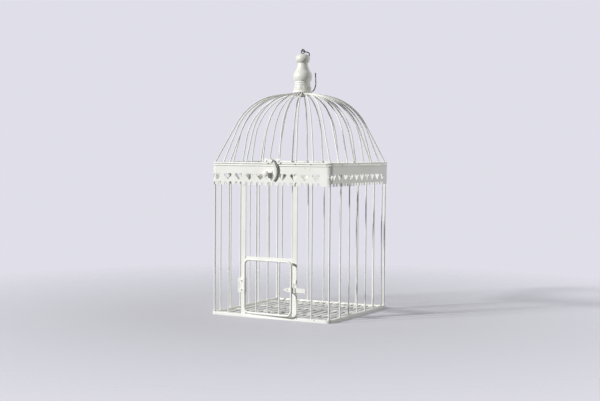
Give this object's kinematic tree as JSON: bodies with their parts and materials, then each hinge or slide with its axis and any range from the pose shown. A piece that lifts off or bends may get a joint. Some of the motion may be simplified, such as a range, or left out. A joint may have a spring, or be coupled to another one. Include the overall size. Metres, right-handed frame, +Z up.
{
  "type": "wedding card box",
  "caption": "Square wire birdcage for wedding cards, with a woven floor, heart lace band, hinged domed lid with a turned finial, latched lid and a small front door.",
  "frame": {"origin": "middle of the cage at the base frame's underside", "axes": "+Z up, -Y out of the side with the door, +X to the right of someone facing the door"},
  "size_m": [0.1806, 0.1926, 0.3621],
  "materials": {
    "ivory_paint": "satin warm white paint",
    "dark_steel": "darkened steel wire"
  },
  "bodies": {
    "cage": {"base_frame": "ivory_paint", "floor_long_strips": "ivory_paint", "floor_cross_strip_front": "ivory_paint", "floor_cross_strip_middle": "ivory_paint", "floor_cross_strip_back": "ivory_paint", "corner_wires": "ivory_paint", "wall_wires_front": "ivory_paint", "wall_wires_right": "ivory_paint", "wall_wires_back": "ivory_paint", "wall_wires_left": "ivory_paint", "body_rim": "ivory_paint", "heart_band_front": "ivory_paint", "heart_band_right": "ivory_paint", "heart_band_back": "ivory_paint", "heart_band_left": "ivory_paint", "door_post_left": "ivory_paint", "door_post_right": "ivory_paint", "door_lintel": "ivory_paint", "door_hinge_strap": "ivory_paint", "door_hinge_rivets": "ivory_paint", "bolt_keeper": "ivory_paint", "lid_hinge_lower_leaves": "ivory_paint", "lid_hinge_pins": "ivory_paint", "latch_knob": "ivory_paint"},
    "lid": {"lid_rim": "ivory_paint", "dome_wires_inner": "ivory_paint", "dome_wires_middle": "ivory_paint", "dome_wires_outer": "ivory_paint", "dome_wires_corner": "ivory_paint", "hub_ring": "ivory_paint", "hub_cap": "ivory_paint", "finial_screw": "ivory_paint", "finial": "ivory_paint", "screw_eye": "dark_steel", "lid_hinge_upper_leaves": "ivory_paint", "latch_plate": "ivory_paint", "latch_pivot": "ivory_paint"},
    "lid_latch": {"latch_claw": "ivory_paint"},
    "hanging_hook": {"hanging_hook": "dark_steel"},
    "door": {"door_frame": "ivory_paint", "door_wires": "ivory_paint"},
    "door_bolt": {"door_bolt": "ivory_paint"}
  },
  "joints": [
    {"name": "lid_hinge", "type": "hinge", "parent": "cage", "child": "lid", "pos_m": [0, 0.0927, 0.2031], "axis": [-1, 0, 0], "range_deg": [0, 100]},
    {"name": "lid_latch_pivot", "type": "hinge", "parent": "lid", "child": "lid_latch", "pos_m": [0.0057, -0.0937, 0.2076], "axis": [0, -1, 0], "range_deg": [-22, 90]},
    {"name": "hanging_hook_pivot", "type": "hinge", "parent": "lid", "child": "hanging_hook", "pos_m": [0, 0, 0.35935], "axis": [1, 0, 0], "range_deg": [0, 170]},
    {"name": "door_hinge", "type": "hinge", "parent": "cage", "child": "door", "pos_m": [-0.0365, -0.09113, 0.0422], "axis": [0, 0, -1], "range_deg": [0, 105]},
    {"name": "door_bolt_slide", "type": "slide", "parent": "cage", "child": "door_bolt", "axis": [1, 0, 0], "range_m": [0, 0.014]}
  ]
}
